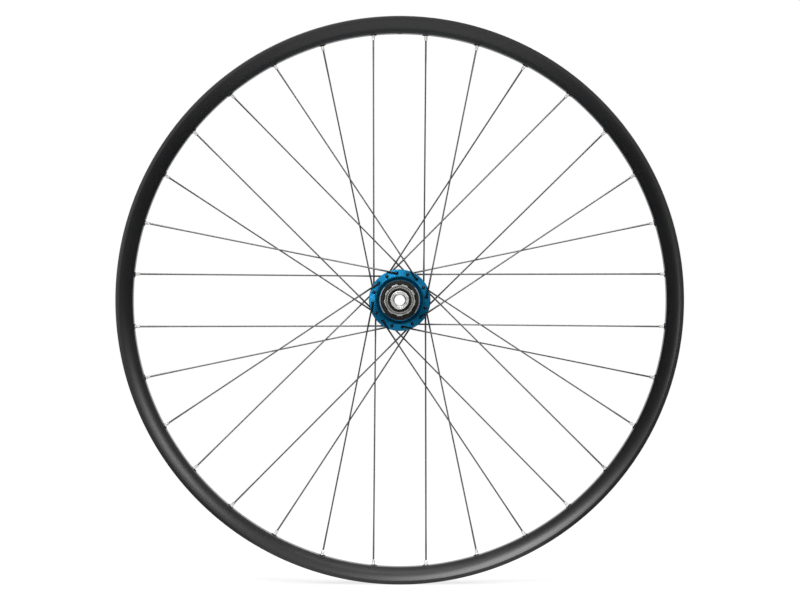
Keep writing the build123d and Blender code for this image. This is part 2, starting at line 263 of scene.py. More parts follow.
# End caps
through_axle_radius = 0.006
bore_mouth_round = 0.0003
end_cap_radius = 0.0101
end_cap_round = 0.0005
end_cap_chamfer = 0.0012
end_cap_chamfer_round = 0.0002
end_cap_step_radius = 0.0079
end_cap_step = 0.0003
end_cap_step_round = 0.0001
end_cap_foot_round = 0.0002
end_cap_spigot_radius = 0.00718
end_cap_spigot = 0.012
end_cap_spigot_round = 0.0004
end_cap_segments = 128
dust_shield_radius = 0.0132
dust_shield_start = 0.055
dust_shield_end = 0.057
dust_shield_round = 0.0004
hub_end = cad_box[1].y
disc_bearing_face = 0.053

# Most values of a noise texture lie in this range
noise_low, noise_high = 0.3, 0.7

# Studio: each softbox has its place, its width and height, and its watts
softboxes = {
    "key_softbox": ((-0.8, -2.0, 2.0), (1.6, 1.2), 85),
    "top_softbox": ((0, -0.2, 2.4), (1.6, 1.2), 25),
    "left_softbox": ((-1.3, -2.2, 0.15), (0.3, 0.4), 8),
    "right_softbox": ((1.5, -1.2, 1.0), (0.8, 0.8), 16),
    "back_softbox": ((0.9, 2.2, 1.6), (1.6, 1.2), 40),
}
ambient_strength = 0.35
floor_half_size = 8
shadow_reach = (0.2, 1.3)
floor_glow = (0.8, 1.0)
flag_front, flag_back = -2.1, 1.45
flag_far = 1.4
flag_near = 0.14 * flag_far
flag_lift = 0.001
left_flag_top = 1.16
right_flag_top = 0.32

# The place of a turned piece: its own Z axis runs along the axle, and its angles count from the top
about_axle = Matrix(((0, 1, 0, 0), (0, 0, 1, 0), (1, 0, 0, 0), (0, 0, 0, 1)))

# Each group of spokes: its flange, the side of the flange that its elbows lie on (1 outside, -1 inside),
# and which way its hub holes stand from its rim holes. The order is that of the rim's holes.
spoke_groups = {
    "disc_trailing_spoke": ("disc", 1, 1),
    "drive_trailing_spoke": ("drive", 1, 1),
    "disc_leading_spoke": ("disc", -1, -1),
    "drive_leading_spoke": ("drive", -1, -1),
}


# Mesh tools


def rounded(corners, closed=True, steps=5):
    """Points of a line through (place, rounding radius) corners"""
    points = []
    for index, (corner, fillet) in enumerate(corners):
        loose_end = not closed and index in (0, len(corners) - 1)
        if loose_end or not fillet:
            points.append(corner)
            continue
        before = (corners[index - 1][0] - corner).normalized()
        after = (corners[(index + 1) % len(corners)][0] - corner).normalized()
        half = before.angle(after) / 2
        centre = corner + (before + after).normalized() * (fillet / sin(half))
        start = corner + before * (fillet / tan(half)) - centre
        end = corner + after * (fillet / tan(half)) - centre
        for step in range(steps + 1):
            points.append(centre + start.slerp(end, step / steps).normalized() * fillet)
    return points


def outline(*corners):
    """The rounded profile through (radius, place, rounding) corners"""
    return rounded([(Vector((radius, place)), fillet) for radius, place, fillet in corners])


def turned(profile, segments, place=about_axle, hollow=False):
    """A closed profile turned about an axis, as a bmesh; a hollow one faces inwards"""
    shape = bmesh.new()
    poles = {}
    for index, (radius, height) in enumerate(profile):
        if radius == 0:
            poles[index] = shape.verts.new(place @ Vector((0, 0, height)))
    rings = []
    for step in range(segments):
        angle = 2 * pi * step / segments
        ring = []
        for index, (radius, height) in enumerate(profile):
            point = Vector((radius * cos(angle), radius * sin(angle), height))
            ring.append(poles.get(index) or shape.verts.new(place @ point))
        rings.append(ring)
    for ring, following in zip(rings, rings[1:] + rings[:1]):
        for index in range(len(profile)):
            corners = [ring[index - 1], ring[index], following[index], following[index - 1]]
            corners = list(dict.fromkeys(corners))
            if len(corners) > 2:
                shape.faces.new(corners)
    bmesh.ops.recalc_face_normals(shape, faces=shape.faces[:])
    if hollow:
        bmesh.ops.reverse_faces(shape, faces=shape.faces[:])
    return shape


def prism(corners, start, end, angle):
    """An outline in the wheel's plane, drawn at the top and turned to an angle, drawn out along the axle"""
    shape = bmesh.new()
    turn = Matrix.Rotation(angle, 4, "Y")
    near = [shape.verts.new(turn @ Vector((x, start, z))) for x, z in corners]
    far = [shape.verts.new(turn @ Vector((x, end, z))) for x, z in corners]
    shape.faces.new(near)
    shape.faces.new(far)
    for index in range(len(corners)):
        shape.faces.new((near[index - 1], near[index], far[index], far[index - 1]))
    bmesh.ops.recalc_face_normals(shape, faces=shape.faces[:])
    return shape


def lofted(sections, place, points_round=24):
    """A closed loop of sections, each (height, half width, form), round the Z axis of a place"""
    shape = bmesh.new()
    rings = []
    for height, half_width, form in sections:
        ring = []
        for step in range(points_round):
            angle = 2 * pi * (step + 0.5) / points_round
            power_sum = abs(cos(angle)) ** form + abs(sin(angle)) ** form
            reach = half_width / power_sum ** (1 / form)
            point = Vector((reach * cos(angle), reach * sin(angle), height))
            ring.append(shape.verts.new(place @ point))
        rings.append(ring)
    for ring, following in zip(rings, rings[1:] + rings[:1]):
        for index in range(points_round):
            shape.faces.new((ring[index - 1], ring[index], following[index], following[index - 1]))
    bmesh.ops.recalc_face_normals(shape, faces=shape.faces[:])
    return shape


def swept(stations, points_round=16):
    """Round wire through (place, direction, radius) stations"""
    shape = bmesh.new()
    across = stations[0][1].orthogonal()
    rings = []
    for place, direction, radius in stations:
        across = (across - direction * across.dot(direction)).normalized()
        up = direction.cross(across)
        ring = []
        for step in range(points_round):
            angle = 2 * pi * step / points_round
            ring.append(shape.verts.new(place + (across * cos(angle) + up * sin(angle)) * radius))
        rings.append(ring)
    for ring, following in zip(rings, rings[1:]):
        for index in range(points_round):
            shape.faces.new((ring[index - 1], ring[index], following[index], following[index - 1]))
    shape.faces.new(rings[0])
    shape.faces.new(rings[-1])
    bmesh.ops.recalc_face_normals(shape, faces=shape.faces[:])
    return shape


def as_mesh(shape, name):
    mesh = bpy.data.meshes.new(name)
    shape.to_mesh(mesh)
    shape.free()
    return mesh


def together(shapes):
    """One bmesh of several"""
    whole = bmesh.new()
    for shape in shapes:
        mesh = as_mesh(shape, "part")
        whole.from_mesh(mesh)
        bpy.data.meshes.remove(mesh)
    return whole


def combined(base, tool, operation):
    """A base with a tool joined to it or cut from it"""
    target = bpy.data.objects.new("target", as_mesh(base, "target"))
    cutter = bpy.data.objects.new("cutter", as_mesh(tool, "cutter"))
    for helper in (target, cutter):
        bpy.context.scene.collection.objects.link(helper)
    modifier = target.modifiers.new("combine", "BOOLEAN")
    modifier.object = cutter
    modifier.operation = operation
    modifier.solver = "MANIFOLD"
    result = bmesh.new()
    result.from_object(target, bpy.context.evaluated_depsgraph_get())
    for helper in (target, cutter):
        mesh = helper.data
        bpy.data.objects.remove(helper)
        bpy.data.meshes.remove(mesh)
    return result


def carved(base, tools):
    return combined(base, together(tools), "DIFFERENCE")


def fused(base, tools):
    return combined(base, together(tools), "UNION")


def smooth(mesh, crease=radians(32)):
    mesh.shade_smooth()
    mesh.set_sharp_from_angle(angle=crease)
    return mesh


def add_piece(name, mesh, material, body, nodes, turn=0):
    """Shows a mesh in place of CAD nodes, on their body"""
    piece = bpy.data.objects.new(name, mesh)
    bpy.context.scene.collection.objects.link(piece)
    if not mesh.materials:
        mesh.materials.append(material)
    piece.matrix_world = Matrix.Rotation(turn, 4, "Y")
    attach(piece, body)
    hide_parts(*nodes)


# Material tools


def shader_of(material):
    return material.node_tree.nodes["Principled BSDF"]


def feed(material, socket, value):
    """Sets a socket to a value, or links it to another node's output"""
    if isinstance(value, bpy.types.NodeSocket):
        material.node_tree.links.new(value, socket)
    else:
        socket.default_value = value


def set_input(material, name, value):
    feed(material, shader_of(material).inputs[name], value)


def new_material(name, colour, roughness, metallic=0.0):
    material = bpy.data.materials.new(name)
    material.use_nodes = True
    set_input(material, "Base Color", (*colour, 1))
    set_input(material, "Roughness", roughness)
    set_input(material, "Metallic", metallic)
    return material


def add_node(material, kind, **sockets):
    """A node with its sockets fed, where a _ stands for the space in a socket's name"""
    node = material.node_tree.nodes.new(kind)
    for name, value in sockets.items():
        feed(material, node.inputs[name.replace("_", " ")], value)
    return node


def arithmetic(material, operation, first, second=0.0):
    node = material.node_tree.nodes.new("ShaderNodeMath")
    node.operation = operation
    for socket, value in zip(node.inputs, (first, second)):
        feed(material, socket, value)
    return node.outputs[0]


def object_coordinates(material):
    return add_node(material, "ShaderNodeTexCoord").outputs["Object"]


def object_parts(material):
    """The coordinates X, Y and Z one by one"""
    return add_node(material, "ShaderNodeSeparateXYZ", Vector=object_coordinates(material)).outputs


def distance(material, first, second):
    """How far a point lies from the crossing of two axes, by its two coordinates"""
    first_square = arithmetic(material, "MULTIPLY", first, first)
    second_square = arithmetic(material, "MULTIPLY", second, second)
    return arithmetic(material, "SQRT", arithmetic(material, "ADD", first_square, second_square))


def radius_from_axle(material):
    parts = object_parts(material)
    return distance(material, parts["X"], parts["Z"])


def turning_coordinates(material):
    """Radius and place along the axle, the same all the way round, as marks from a lathe are"""
    parts = object_parts(material)
    radius = distance(material, parts["X"], parts["Z"])
    joined = add_node(material, "ShaderNodeCombineXYZ", X=radius, Y=parts["Y"])
    return joined.outputs["Vector"]


def noise(material, coordinates, scale, detail=2.0):
    node = add_node(material, "ShaderNodeTexNoise", Vector=coordinates, Scale=scale, Detail=detail)
    return node.outputs["Fac"]


def mapped(material, value, start, end, low=0.0, high=1.0):
    """A value's change from start to end as a change from low to high, and level beyond them"""
    limits = {"From_Min": start, "From_Max": end, "To_Min": low, "To_Max": high}
    return add_node(material, "ShaderNodeMapRange", Value=value, **limits).outputs["Result"]


def spread(material, value, low, high):
    """A noise value mapped to a range"""
    return mapped(material, value, noise_low, noise_high, low, high)


def blended(material, factor, first, second):
    """A colour between two, by a noise value"""
    ramp = add_node(material, "ShaderNodeValToRGB", Fac=factor)
    ends = ramp.color_ramp.elements
    ends[0].color = (*first, 1)
    ends[1].color = (*second, 1)
    ends[0].position = noise_low
    ends[1].position = noise_high
    return ramp.outputs["Color"]


def colour_over(material, share, colour):
    """Another colour over the one that the material has, by a share from 0 to 1"""
    below = shader_of(material).inputs["Base Color"].links[0].from_socket
    mix = add_node(material, "ShaderNodeMixRGB", Fac=share, Color1=below, Color2=(*colour, 1))
    set_input(material, "Base Color", mix.outputs["Color"])


def add_bump(material, height, strength, distance):
    node = add_node(material, "ShaderNodeBump", Height=height, Strength=strength, Distance=distance)
    set_input(material, "Normal", node.outputs["Normal"])


# Materials


def rim_material():
    """Satin black anodised extrusion: faint lines along its length and a fine blasted grain"""
    material = new_material("black_anodised_rim", (0.004, 0.004, 0.0045), roughness=0.36)
    set_input(material, "Specular IOR Level", 0.36)
    lines = noise(material, turning_coordinates(material), scale=2600, detail=3.0)
    grain = noise(material, object_coordinates(material), scale=3200, detail=1.0)
    patches = noise(material, object_coordinates(material), scale=9, detail=3.0)
    colour = blended(material, patches, (0.003, 0.003, 0.0033), (0.0055, 0.0055, 0.0058))
    set_input(material, "Base Color", colour)
    both = arithmetic(material, "MULTIPLY", lines, grain)
    set_input(material, "Roughness", spread(material, both, low=0.3, high=0.42))
    add_bump(material, arithmetic(material, "ADD", lines, grain), strength=0.06, distance=0.0001)
    return material


def spoke_material():
    """Black oxide on drawn stainless wire, with painted shade that darkens it towards the hub over its head
    and elbow
    """
    material = new_material("black_oxide_wire", (0.1, 0.1, 0.1), roughness=0.34, metallic=1.0)
    patches = noise(material, object_coordinates(material), scale=900)
    wire = blended(material, patches, (0.075, 0.075, 0.077), (0.12, 0.12, 0.122))
    set_input(material, "Base Color", wire)
    hub_edge = flange_radius["drive"]
    # Painted shade: the wire turns near black towards the hub, over the heads and elbows at the flanges
    shade_at_hub = mapped(material, radius_from_axle(material), hub_edge + elbow_shade_fade, hub_edge)
    colour_over(material, shade_at_hub, (0.02, 0.022, 0.025))
    set_input(material, "Roughness", spread(material, patches, low=0.28, high=0.42))
    return material


def nipple_material():
    """Nickel plate on brass"""
    material = new_material("nickel_plate", (0.66, 0.65, 0.62), roughness=0.24, metallic=1.0)
    patches = noise(material, object_coordinates(material), scale=420)
    set_input(material, "Base Color", blended(material, patches, (0.58, 0.57, 0.54), (0.72, 0.71, 0.69)))
    set_input(material, "Roughness", spread(material, patches, low=0.18, high=0.32))
    return material


def turned_metal(name, dark, light, roughness, mark_scale, mark_depth=0.0001, metallic=1.0, dish=0.0):
    """Metal off a lathe: fine rings that follow its radius and length, and a soft change of tone.
    A dish leans its faces a little, so that they catch the light as a hollow one does."""
    material = new_material(name, dark, roughness, metallic)
    marks = noise(material, turning_coordinates(material), mark_scale, detail=3.0)
    patches = noise(material, object_coordinates(material), scale=60)
    set_input(material, "Base Color", blended(material, patches, dark, light))
    set_input(material, "Roughness", spread(material, marks, roughness - 0.06, roughness + 0.08))
    fall = arithmetic(material, "MULTIPLY", radius_from_axle(material), dish / mark_depth)
    add_bump(material, arithmetic(material, "SUBTRACT", marks, fall), strength=0.35, distance=mark_depth)
    return material


def hub_material():
    """Blue anodised aluminium"""
    dark = (0.002, 0.085, 0.175)
    light = (0.004, 0.11, 0.22)
    finish = {"mark_scale": 3000, "mark_depth": 0.0002, "metallic": 0.75, "dish": 0.5}
    material = turned_metal("blue_hub", dark, light, roughness=0.27, **finish)
    set_input(material, "Specular IOR Level", 0.15)
    return material


def rubber_material():
    """Black moulded rubber with a dull, slightly uneven skin"""
    material = new_material("black_rubber", (0.01, 0.01, 0.01), roughness=0.5)
    set_input(material, "Specular IOR Level", 0.22)
    grain = noise(material, object_coordinates(material), scale=1800)
    patches = noise(material, object_coordinates(material), scale=120)
    colour = blended(material, patches, (0.004, 0.004, 0.004), (0.008, 0.008, 0.0075))
    set_input(material, "Base Color", colour)
    set_input(material, "Roughness", spread(material, patches, low=0.45, high=0.62))
    add_bump(material, grain, strength=0.2, distance=0.0001)
    return material


def seal_material():
    """The same rubber with a plain grey line along its edge on the left and on the right"""
    material = rubber_material()
    parts = object_parts(material)
    radius = radius_from_axle(material)
    at_edge = arithmetic(material, "GREATER_THAN", radius, seal_line_radius)
    height = arithmetic(material, "ABSOLUTE", parts["Z"])
    line_end = arithmetic(material, "MULTIPLY", radius, sin(seal_line_half_angle))
    beside = arithmetic(material, "LESS_THAN", height, line_end)
    on_face = arithmetic(material, "LESS_THAN", parts["Y"], seal_face + seal_radius - seal_line_radius)
    edge_beside = arithmetic(material, "MULTIPLY", at_edge, beside)
    colour_over(material, arithmetic(material, "MULTIPLY", edge_beside, on_face), (0.2, 0.21, 0.22))
    return material


def freehub_material():
    """Satin aluminium, painted near black behind the splines as shade in the recess under the seal"""
    dark = (0.26, 0.26, 0.25)
    light = (0.33, 0.33, 0.32)
    material = turned_metal("freehub_aluminium", dark, light, roughness=0.3, mark_scale=3400)
    along = object_parts(material)["Y"]
    behind = arithmetic(material, "GREATER_THAN", along, spline_shoulder - spline_flank)
    # Painted shade: near black over all of the freehub behind its splines' shoulder, inside the seal and
    # the hub shell
    colour_over(material, behind, (0.012, 0.012, 0.012))
    return material


def aluminium_material():
    dark = (0.45, 0.45, 0.44)
    light = (0.54, 0.54, 0.52)
    return turned_metal("satin_aluminium", dark, light, roughness=0.28, mark_scale=3400)


def steel_material():
    dark = (0.36, 0.36, 0.35)
    light = (0.44, 0.44, 0.43)
    return turned_metal("ground_steel", dark, light, roughness=0.26, mark_scale=4200)


# Near-black steel: painted shade for the bearing rings deep in the freehub's bore
def bearing_shade_material():
    dark = (0.02, 0.02, 0.02)
    light = (0.035, 0.035, 0.034)
    return turned_metal("painted_shade_steel", dark, light, roughness=0.35, mark_scale=4200)


# One finish for each slot of the record
materials = {
    "rim_black": rim_material(),
    "spoke_black": spoke_material(),
    "nipple_silver": nipple_material(),
    "hub_blue": hub_material(),
    "bare_aluminium": aluminium_material(),
    "hard_steel": steel_material(),
    "seal_black": rubber_material(),
}


def finish_cad_nodes():
    """Every solid takes the finish of its slot in the record, and the rings of the bearing that shows in
    the freehub's bore are near black, as painted shade
    """
    bearing_shade = bearing_shade_material()
    for subpart in frame["record"]["subparts"]:
        name = subpart["node"]
        open_ring = name.startswith("outer_freehub_bearing") and name.endswith("ring")
        node = frame["nodes"][name]
        node.data.materials.clear()
        node.data.materials.append(bearing_shade if open_ring else materials[subpart["material_slot"]])


# Spokes and nipples


def spoke_route(group):
    """Corners of a spoke's centre line from its head to its nipple's seat, with its rim hole at the top"""
    side, elbow, lead = spoke_groups[group]
    outwards = sides[side] * elbow
    hub_angle = lead * crosses * flange_pitch
    hub_radius = hole_circle_radius[side]
    hole = Vector((hub_radius * sin(hub_angle), 0, hub_radius * cos(hub_angle)))
    rim = Vector((0, 0, nipple_seat_radius))
    along = (rim - hole).normalized()

    # The spoke lies flat on its flange as far as the flange's edge
    off_axis = abs(hole.cross(along).y)
    to_edge = sqrt(flange_radius[side] ** 2 - off_axis**2) - sqrt(hub_radius**2 - off_axis**2)
    edge = hole + along * (to_edge + spoke_end_radius)

    # Two spokes of one flange meet halfway between their rim holes, where the outer one passes inside
    half_step = tan(flange_pitch / 2)
    lean = abs(hole.x) - half_step * hole.z
    share = lean / (lean + half_step * nipple_seat_radius)
    crossing = hole + (rim - hole) * share

    middle = flange_middle[side]
    rim_y = sides[side] * hole_stagger
    run_y = middle + outwards * (flange_half + elbow_gap + spoke_end_radius)
    crossing_y = (1 - share) * middle + share * rim_y - outwards * (spoke_end_radius + crossing_gap / 2)
    return [
        hole + Vector((0, middle - outwards * flange_half, 0)),
        hole + Vector((0, run_y, 0)),
        edge + Vector((0, run_y, 0)),
        crossing + Vector((0, crossing_y, 0)),
        rim + Vector((0, rim_y, 0)),
    ]


def nipple_place(group):
    """A frame at the nipple's seat whose Z axis looks outwards along the spoke"""
    route = spoke_route(group)
    along = (route[-1] - route[-2]).normalized()
    across = Vector((0, 1, 0)).cross(along).normalized()
    columns = Matrix((across, along.cross(across), along)).transposed()
    return Matrix.Translation(route[-1]) @ columns.to_4x4()


def butted_radius(run, length):
    """Wire drawn thinner between its two thick ends"""
    from_end = min(run, length - run)
    share = min(max((from_end - butt_length) / butt_taper, 0), 1)
    return spoke_end_radius + (spoke_middle_radius - spoke_end_radius) * share


def spoke_stations(group):
    """The domed head, and then the wire through its elbow and along its run"""
    route = spoke_route(group)
    route[-1] = route[-1] + (route[-1] - route[-2]).normalized() * thread_reach
    bends = [0, elbow_bend, run_bend, run_bend, 0]
    path = rounded(list(zip(route, bends)), closed=False)

    # Short steps, because the wire's thickness changes along its run
    points = [path[0]]
    for point in path[1:]:
        pieces = max(1, int((point - points[-1]).length / butt_taper))
        start = points[-1]
        points += [start.lerp(point, (step + 1) / pieces) for step in range(pieces)]
    lengths = [0]
    for before, point in zip(points, points[1:]):
        lengths.append(lengths[-1] + (point - before).length)

    inwards = (points[1] - points[0]).normalized()
    stations = []
    for height, share in spoke_head_dome:
        place = points[0] - inwards * spoke_head_height * height
        stations.append((place, inwards, spoke_head_radius * share))
    for index, point in enumerate(points):
        direction = (points[min(index + 1, len(points) - 1)] - points[max(index - 1, 0)]).normalized()
        stations.append((point, direction, butted_radius(lengths[index], lengths[-1])))
    return stations


def group_angles(group):
    """Rim angles of a group's spokes: the groups take the rim's holes in turn"""
    first = (list(spoke_groups).index(group) + 0.5) * rim_pitch
    return [first + step * group_pitch for step in range(spokes_in_group)]


def add_spokes():
    for group in spoke_groups:
        mesh = smooth(as_mesh(swept(spoke_stations(group)), group))
        for number, angle in enumerate(group_angles(group), start=1):
            node = f"{group}_{number}"
            add_piece(f"wire_{node}", mesh, materials["spoke_black"], "wheel", [node], angle)


def nipple_sections():
    """Square flats for the key, a round collar, a conical seat and a round head, with a bore through all"""
    tip = -bed_thickness - nipple_exposed
    collar = -bed_thickness - nipple_collar
    head = nipple_seat_gap + nipple_head_radius - nipple_radius
    top = head + nipple_head_height
    return [
        (tip, nipple_bore_radius, round_form),
        (tip, nipple_half_flats - nipple_edge, tip_form),
        (tip + nipple_edge, nipple_half_flats, square_form),
        (collar - 2 * nipple_edge, nipple_half_flats, square_form),
        (collar, nipple_radius - nipple_edge / 2, collar_form),
        (collar + nipple_edge, nipple_radius, round_form),
        (nipple_seat_gap, nipple_radius, round_form),
        (head, nipple_head_radius, round_form),
        (top - nipple_edge, nipple_head_radius, round_form),
        (top, nipple_head_radius - nipple_edge, round_form),
        (top, nipple_bore_radius, round_form),
    ]


def nipple_places():
    """The place of every nipple, in the order of the groups"""
    places = []
    for group in spoke_groups:
        for angle in group_angles(group):
            places.append(Matrix.Rotation(angle, 4, "Y") @ nipple_place(group))
    return places


def add_nipples():
    shapes = [lofted(nipple_sections(), place) for place in nipple_places()]
    mesh = smooth(as_mesh(together(shapes), "nipple_set"))
    add_piece("nipple_set", mesh, materials["nipple_silver"], "wheel", ["nipples"])


# Rim


def bowed_wall(inner_end, outer_end, count):
    """Points between the two ends of a side wall, which bulges most halfway"""
    chord = outer_end - inner_end
    outwards = Vector((-chord.y, chord.x)).normalized()
    points = []
    for step in range(count):
        share = (step + 1) / (count + 1)
        bulge = 4 * wall_bulge * share * (1 - share)
        points.append(inner_end + chord * share + outwards * bulge)
    return points


def both_sides(half):
    """A whole profile from its half on the disc side, mirrored in the wheel's middle plane"""
    return half + [(Vector((corner.x, -corner.y)), fillet) for corner, fillet in reversed(half)]


def rim_profile():
    half = [(bed_edge, bed_round)]
    half += [(point, 0) for point in bowed_wall(bed_edge, lip_foot, wall_steps)]
    half += [
        (lip_foot, lip_foot_round),
        (Vector((rim_radius, rim_half_width)), lip_round),
        (Vector((rim_radius, inner_half_width)), lip_round),
        (Vector((seat_radius, inner_half_width)), lip_round),
        (Vector((seat_radius, inner_half_width - shelf_width)), shelf_round),
        (Vector((well_radius, well_half_width)), well_round),
    ]
    return rounded(both_sides(half))


def cavity_profile():
    chord = lip_foot - bed_edge
    lean = chord.y / chord.x
    inset = bed_half_width - rim_wall / chord.normalized().x
    top = seat_radius - rim_wall
    lower = Vector((nipple_seat_radius, inset + bed_thickness * lean))
    upper = Vector((top, inset + (top - bed_radius) * lean))
    half = [(lower, 0)]
    half += [(point, 0) for point in bowed_wall(lower, upper, cavity_wall_steps)]
    half += [(upper, 0), (Vector((well_radius - rim_wall, well_half_width)), 0)]
    return rounded(both_sides(half))


def drill(radius, start, end, place):
    """A round cutter along the Z axis of a place"""
    return turned([(0, start), (radius, start), (radius, end), (0, end)], hole_segments, place)


def hole_boss(place):
    """A low boss under a nipple, with leaning sides"""
    profile = [
        (0, -bed_thickness / 2),
        (hole_boss_radius, -bed_thickness / 2),
        (hole_boss_radius, -bed_thickness),
        (hole_boss_top_radius, -bed_thickness - hole_boss_height),
        (0, -bed_thickness - hole_boss_height),
    ]
    return turned(profile, hole_segments, place)


def rim_shape():
    hoop = turned(rim_profile(), rim_segments)
    cavity = turned(cavity_profile(), rim_segments, hollow=True)
    bosses = [hole_boss(place) for place in nipple_places()]
    holes = [drill(valve_hole_radius, -rim_depth, rim_depth, Matrix.Translation((0, 0, bed_radius)))]
    for place in nipple_places():
        holes.append(drill(nipple_hole_radius, -2 * bed_thickness, bed_thickness, place))
        holes.append(drill(access_hole_radius, 2 * bed_thickness, rim_depth, place))
    return carved(fused(together([hoop, cavity]), bosses), holes)


def add_rim():
    mesh = smooth(as_mesh(rim_shape(), "rim_hoop"))
    add_piece("rim_hoop", mesh, materials["rim_black"], "wheel", ["rim"])


# Hub


def hub_profile():
    flange_out = {side: flange_middle[side] + sides[side] * flange_half for side in sides}
    flange_in = {side: flange_middle[side] - sides[side] * flange_half for side in sides}
    return outline(
        (drive_boss_radius, drive_boss_end, drive_boss_round),
        (drive_boss_radius, flange_out["drive"], drive_boss_foot_round),
        (flange_radius["drive"], flange_out["drive"], flange_round),
        (flange_radius["drive"], flange_in["drive"], flange_round),
        (inner_boss_radius, flange_in["drive"], inner_boss_foot_round),
        (inner_boss_radius, inner_boss_end, inner_boss_round),
        (barrel_radius, inner_boss_end + drive_flare_length, barrel_round),
        (barrel_radius, flange_in["disc"] - disc_flare_length, barrel_round),
        (disc_flare_radius, flange_in["disc"], disc_flare_round),
        (flange_radius["disc"], flange_in["disc"], flange_round),
        (flange_radius["disc"], flange_out["disc"], flange_round),
        (neck_radius, flange_out["disc"], neck_foot_round),
        (neck_radius, rotor_face, rotor_face_round),
        (register_radius, rotor_face, rotor_face_round),
        (register_radius, register_end, register_round),
        (disc_bearing_radius, register_end, register_round),
        (disc_bearing_radius, disc_shoulder, 0),
        (cavity_radius, disc_shoulder, 0),
        (cavity_radius, drive_shoulder, 0),
        (drive_bearing_radius, drive_shoulder, 0),
        (drive_bearing_radius, ratchet_floor, 0),
        (ratchet_ring_radius, ratchet_floor, 0),
        (ratchet_ring_radius, ratchet_face, 0),
        (recess_radius, ratchet_face, ratchet_face_round),
        (recess_radius, recess_end, recess_round),
        (drive_boss_radius - funnel_lip, drive_boss_end, funnel_round),
    )


def at_radius(radius, angle):
    """A place at an angle round the axle whose Z axis runs along the axle"""
    return Matrix.Rotation(angle, 4, "Y") @ Matrix.Translation((0, 0, radius)) @ about_axle


def spoke_hole(side, angle):
    """A drilled hole with both its mouths flared, so that no edge cuts the wire"""
    half = flange_half + spoke_hole_flare
    flare = spoke_hole_radius + 2 * spoke_hole_flare
    inner = flange_half - spoke_hole_flare
    profile = [
        (0, -half),
        (flare, -half),
        (spoke_hole_radius, -inner),
        (spoke_hole_radius, inner),
        (flare, half),
        (0, half),
    ]
    place = at_radius(hole_circle_radius[side], angle) @ Matrix.Translation((0, 0, flange_middle[side]))
    return turned(profile, spoke_hole_segments, place)


def rotor_bolt_places():
    pitch = 2 * pi / rotor_bolt_count
    return [at_radius(rotor_bolt_circle, number * pitch) for number in range(rotor_bolt_count)]


def rotor_lobes():
    """The bosses round the neck that take the brake rotor's bolts, each with a threaded blind hole"""
    lobe_start = rotor_face - rotor_lobe_thickness
    bottom = rotor_face - rotor_bolt_depth
    thread_root = rotor_bolt_radius + rotor_thread_depth
    top = rotor_face + rotor_lobe_rise
    corners = [
        (0, lobe_start, 0),
        (rotor_lobe_radius, lobe_start, rotor_lobe_back_round),
        (rotor_lobe_radius, top, rotor_face_round),
        (thread_root + rotor_thread_depth, top, rotor_bolt_round),
    ]
    turns = int(rotor_bolt_depth / rotor_thread_pitch)
    for turn in range(turns):
        start = rotor_face - (turn + 0.5) * rotor_thread_pitch
        corners.append((rotor_bolt_radius, start, 0))
        corners.append((thread_root, start - rotor_thread_pitch / 2, 0))
    corners += [(rotor_bolt_radius, bottom, 0), (0, bottom, 0)]
    return [turned(outline(*corners), rotor_lobe_segments, place) for place in rotor_bolt_places()]


def hub_shape():
    """The shell with its spoke holes, and with room for the threaded holes that the lobes bring"""
    room_radius = rotor_bolt_radius + 2 * rotor_thread_depth
    room_start = rotor_face - rotor_lobe_thickness
    room_end = rotor_face + rotor_bolt_radius
    holes = [drill(room_radius, room_start, room_end, place) for place in rotor_bolt_places()]
    for group, (side, _, lead) in spoke_groups.items():
        for angle in group_angles(group):
            holes.append(spoke_hole(side, angle + lead * crosses * flange_pitch))
    return fused(carved(turned(hub_profile(), hub_segments), holes), rotor_lobes())


def add_hub():
    mesh = smooth(as_mesh(hub_shape(), "hub_body"))
    add_piece("hub_body", mesh, materials["hub_blue"], "wheel", ["hub_shell"])


# Freehub and axle ends


def freehub_profile():
    threads = []
    turns = int((lockring_bore_end - spline_end) / lockring_thread_pitch)
    for turn in range(turns):
        start = lockring_bore_end - turn * lockring_thread_pitch
        threads.append((lockring_bore_radius, start, 0))
        threads.append((lockring_bore_radius + lockring_thread_depth, start - lockring_thread_pitch / 2, 0))
    return outline(
        (lockring_bore_radius + lockring_mouth, spline_end, lockring_mouth_round),
        (spline_radius, spline_end, spline_end_round),
        (spline_radius, spline_shoulder, spline_shoulder_round),
        (seal_seat_radius, spline_shoulder, seal_seat_round),
        (seal_seat_radius, carrier_end, 0),
        (carrier_radius, carrier_end, 0),
        (carrier_radius, freehub_end, freehub_end_round),
        (freehub_bearing_radius, freehub_end, inner_bearing_round),
        (freehub_bearing_radius, inner_bearing_face, 0),
        (freehub_bore_radius, inner_bearing_face, 0),
        (freehub_bore_radius, outer_bearing_end, 0),
        (freehub_bearing_radius, outer_bearing_end, 0),
        (freehub_bearing_radius, lockring_bore_end, outer_bearing_round),
        *threads,
    )


def spline_groove(number):
    """A groove with leaning flanks and rounded corners; the one at the top is the narrow key"""
    half = spline_groove_half if number else key_groove_half
    bottom = spline_radius - spline_depth
    above = spline_radius + spline_depth
    corners = rounded(
        [
            (Vector((-half - spline_flank, above)), 0),
            (Vector((-half + spline_flank, bottom)), spline_groove_round),
            (Vector((half - spline_flank, bottom)), spline_groove_round),
            (Vector((half + spline_flank, above)), 0),
        ]
    )
    return prism(corners, spline_end - spline_depth, spline_shoulder, 2 * pi * number / spline_count)


